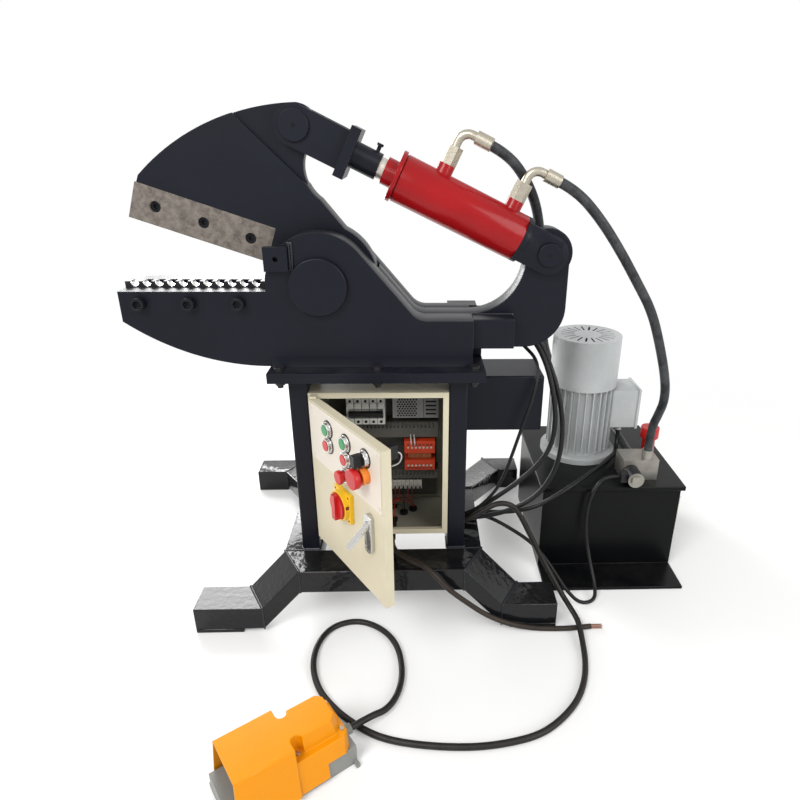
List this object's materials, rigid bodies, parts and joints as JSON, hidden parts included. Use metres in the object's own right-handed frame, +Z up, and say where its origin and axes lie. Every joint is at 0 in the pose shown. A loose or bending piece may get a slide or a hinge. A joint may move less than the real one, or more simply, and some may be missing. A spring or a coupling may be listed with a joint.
{
  "type": "alligator shear",
  "caption": "Hydraulic alligator shear on a steel stand, with a toothed jaw driven by a cylinder, an open control cabinet, a tank with motor, and a foot switch on a cord.",
  "frame": {"origin": "bottom centre of the machine's bounding box without its hoses and cables, on the floor", "axes": "+X to the right seen from the cabinet door, away from the jaws; +Y away from the door; +Z up"},
  "size_m": [1.264, 1.1812, 1.1069],
  "materials": {
    "frame_paint": "gloss black paint",
    "blade_steel": "tool steel with mill scale",
    "black_steel": "black oxide or black paint",
    "cylinder_red": "gloss red paint",
    "rod_chrome": "hard chrome",
    "zinc": "zinc plate",
    "hose_rubber": "black hose",
    "cable_black": "black sheath",
    "cable_brown": "brown sheath",
    "cabinet_cream": "cream powder coat",
    "plate_olive": "zinc plate, yellowish",
    "duct_grey": "grey plastic",
    "device_light": "light plastic",
    "knob_black": "black plastic",
    "supply_casing": "perforated casing",
    "transformer_core": "lacquered core and winding",
    "gland_black": "black plastic",
    "plate_white": "pale satin sheet",
    "bezel_chrome": "chrome",
    "collar_orange": "orange plastic",
    "isolator_yellow": "yellow plastic",
    "red_plastic": "red plastic",
    "green_plastic": "green plastic",
    "motor_grey": "light grey paint",
    "fan_plastic": "black plastic",
    "cap_red": "red cap and cream gauge",
    "pedal_orange": "orange paint",
    "pedal_grey": "grey paint"
  },
  "bodies": {
    "frame": {"base_frame": "frame_paint", "column": "frame_paint", "flange_plates": "frame_paint", "flange_bolts": "black_steel", "front_side_plate": "frame_paint", "centre_plate": "frame_paint", "rear_side_plate": "frame_paint", "pivot_shaft": "black_steel", "arm_pin": "black_steel", "lower_blade": "blade_steel", "lower_blade_bolts": "black_steel", "cabinet_shell": "cabinet_cream", "mounting_plate": "plate_olive", "wiring_ducts": "duct_grey", "circuit_breakers": "device_light", "power_supply": "supply_casing", "transformer": "transformer_core", "terminal_strip": "device_light", "cable_glands": "gland_black", "junction_box": "gland_black", "oil_tank": "frame_paint", "tank_lid": "frame_paint", "motor_body": "motor_grey", "valve_block": "zinc", "tank_fittings": "cap_red", "foot_switch_base": "pedal_grey", "foot_switch_hood": "pedal_orange", "hoses": "hose_rubber", "column_cables": "cable_black", "pedal_cord": "cable_black", "supply_lead": "cable_brown"},
    "jaw": {"upper_jaw": "frame_paint", "upper_blade": "blade_steel", "upper_blade_bolts": "black_steel", "jaw_pin": "black_steel"},
    "cylinder": {"cylinder_barrel": "cylinder_red", "cylinder_head": "cylinder_red", "cylinder_fork": "frame_paint", "port_fittings": "zinc"},
    "rod": {"piston_rod": "rod_chrome", "rod_clevis": "frame_paint"},
    "door": {"door_panel": "cabinet_cream", "control_plate": "plate_white", "button_bezels": "bezel_chrome", "stop_collar": "collar_orange", "isolator_plate": "isolator_yellow", "lock_housing": "bezel_chrome"},
    "lock_lever": {"lock_lever": "bezel_chrome"},
    "isolator_handle": {"isolator_handle": "red_plastic"},
    "selector_knob": {"selector_knob": "knob_black"},
    "green_button_left": {"green_button_left": "green_plastic"},
    "green_button_middle": {"green_button_middle": "green_plastic"},
    "red_button_left": {"red_button_left": "red_plastic"},
    "red_button_middle": {"red_button_middle": "red_plastic"},
    "stop_mushroom": {"stop_mushroom": "red_plastic"},
    "reset_mushroom": {"reset_mushroom": "red_plastic"},
    "breaker_toggle": {"breaker_toggle": "knob_black"},
    "foot_pedal": {"foot_pedal": "pedal_grey"},
    "motor_rotor": {"motor_rotor": "fan_plastic"}
  },
  "joints": [
    {"name": "jaw_close", "type": "hinge", "parent": "frame", "child": "jaw", "pos_m": [-0.2425, 0.06564, 0.776], "axis": [0, -1, 0], "range_deg": [0, 20.7]},
    {"name": "cylinder_swing", "type": "hinge", "parent": "frame", "child": "cylinder", "pos_m": [0.2182, 0.06564, 0.8299], "axis": [0, -1, 0], "range_deg": [0, 6.51], "deforming": ["hoses"]},
    {"name": "rod_stroke", "type": "slide", "parent": "cylinder", "child": "rod", "axis": [-0.9021, 0, 0.4315], "range_m": [0, 0.08142]},
    {"name": "door_swing", "type": "hinge", "parent": "frame", "child": "door", "pos_m": [-0.265, -0.04636, 0.381], "axis": [0, 0, 1], "range_deg": [-50, 56]},
    {"name": "lock_lever_swing", "type": "hinge", "parent": "door", "child": "lock_lever", "pos_m": [-0.14199, -0.25287, 0.382], "axis": [0.5592, -0.829, 0], "range_deg": [-25, 50]},
    {"name": "isolator_turn", "type": "hinge", "parent": "door", "child": "isolator_handle", "pos_m": [-0.19334, -0.1687, 0.374], "axis": [-0.829, -0.5592, 0], "range_deg": [0, 90]},
    {"name": "selector_turn", "type": "hinge", "parent": "door", "child": "selector_knob", "pos_m": [-0.14329, -0.2429, 0.514], "axis": [-0.829, -0.5592, 0], "range_deg": [-45, 45]},
    {"name": "green_left_press", "type": "slide", "parent": "door", "child": "green_button_left", "axis": [0.829, 0.5592, 0], "range_m": [0, 0.004], "stiffness_N_per_m": 1500, "springref_m": -0.002},
    {"name": "green_middle_press", "type": "slide", "parent": "door", "child": "green_button_middle", "axis": [0.829, 0.5592, 0], "range_m": [0, 0.004], "stiffness_N_per_m": 1500, "springref_m": -0.002},
    {"name": "red_left_press", "type": "slide", "parent": "door", "child": "red_button_left", "axis": [0.829, 0.5592, 0], "range_m": [0, 0.004], "stiffness_N_per_m": 1500, "springref_m": -0.002},
    {"name": "red_middle_press", "type": "slide", "parent": "door", "child": "red_button_middle", "axis": [0.829, 0.5592, 0], "range_m": [0, 0.004], "stiffness_N_per_m": 1500, "springref_m": -0.002},
    {"name": "stop_press", "type": "slide", "parent": "door", "child": "stop_mushroom", "axis": [0.829, 0.5592, 0], "range_m": [0, 0.004], "stiffness_N_per_m": 1500, "springref_m": -0.002},
    {"name": "reset_press", "type": "slide", "parent": "door", "child": "reset_mushroom", "axis": [0.829, 0.5592, 0], "range_m": [0, 0.004], "stiffness_N_per_m": 1500, "springref_m": -0.002},
    {"name": "breaker_flip", "type": "hinge", "parent": "frame", "child": "breaker_toggle", "pos_m": [-0.167, 0.05064, 0.473], "axis": [1, 0, 0], "range_deg": [-25, 25]},
    {"name": "pedal_press", "type": "hinge", "parent": "frame", "child": "foot_pedal", "pos_m": [-0.2526, -0.44727, 0.056], "axis": [0.5736, -0.8192, 0], "range_deg": [0, 10], "stiffness_Nm_per_rad": 20, "springref_deg": -8.59},
    {"name": "rotor_spin", "type": "hinge", "parent": "frame", "child": "motor_rotor", "pos_m": [0.3935, 0.31064, 0.505], "axis": [0, 0, 1], "continuous": true}
  ],
  "couplings": [
    {"joint": "cylinder_swing", "follows": "jaw_close", "ratio": 0.314},
    {"joint": "rod_stroke", "follows": "jaw_close", "m_per_rad": 0.2253}
  ]
}
